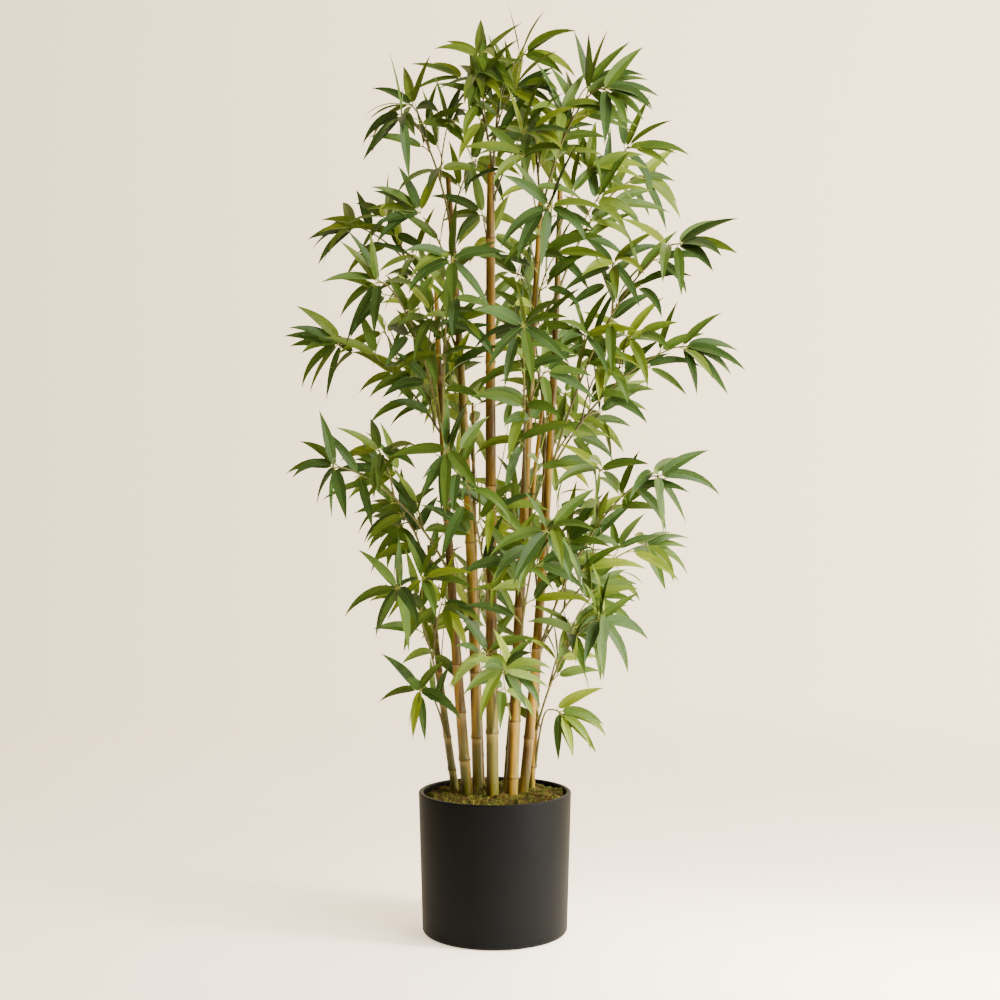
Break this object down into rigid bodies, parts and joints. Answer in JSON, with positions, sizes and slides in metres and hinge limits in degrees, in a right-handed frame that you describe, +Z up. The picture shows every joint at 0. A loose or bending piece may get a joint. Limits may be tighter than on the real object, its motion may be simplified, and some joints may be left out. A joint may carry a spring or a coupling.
{
  "type": "artificial potted bamboo",
  "caption": "Tall artificial bamboo: golden cane culms with long green leaves in a charcoal cylinder pot topped with moss.",
  "frame": {"origin": "centre of the pot's underside", "axes": "+Z up along the pot's axis, -Y the front, +X to the right seen from the front"},
  "size_m": [0.9125, 0.7677, 1.8],
  "materials": {
    "pot": "satin",
    "planting_fill": "matte",
    "moss": "matte",
    "culm": "satin",
    "bough": "satin",
    "leaves": "satin"
  },
  "bodies": {
    "root": {"pot": "pot", "planting_fill": "planting_fill", "moss_bed": "moss", "culm_1": "culm", "culm_2": "culm", "culm_3": "culm", "culm_4": "culm", "culm_5": "culm", "culm_6": "culm", "culm_7": "culm", "culm_8": "culm", "culm_9": "culm", "bough_left_1": "bough", "leaves_left_1": "leaves", "bough_left_2": "bough", "leaves_left_2": "leaves", "leaves_left_3": "leaves", "bough_left_4": "bough", "leaves_left_4": "leaves", "bough_left_5": "bough", "leaves_left_5": "leaves", "leaves_left_6": "leaves", "bough_left_7": "bough", "leaves_left_7": "leaves", "bough_left_8": "bough", "leaves_left_8": "leaves", "bough_right_1": "bough", "leaves_right_1": "leaves", "bough_right_2": "bough", "leaves_right_2": "leaves", "bough_right_3": "bough", "leaves_right_3": "leaves", "bough_right_4": "bough", "leaves_right_4": "leaves", "bough_right_5": "bough", "leaves_right_5": "leaves", "bough_right_6": "bough", "leaves_right_6": "leaves", "bough_right_7": "bough", "leaves_right_7": "leaves", "bough_right_8": "bough", "leaves_right_8": "leaves", "bough_right_9": "bough", "leaves_right_9": "leaves", "bough_top_1": "bough", "leaves_top_1": "leaves", "bough_top_2": "bough", "leaves_top_2": "leaves", "bough_top_3": "bough", "leaves_top_3": "leaves", "leaves_front_1": "leaves", "leaves_front_2": "leaves", "leaves_front_3": "leaves", "leaves_front_4": "leaves", "leaves_front_5": "leaves", "leaves_front_6": "leaves", "leaves_back_1": "leaves", "leaves_back_2": "leaves", "leaves_back_3": "leaves", "leaves_back_4": "leaves"}
  },
  "joints": []
}
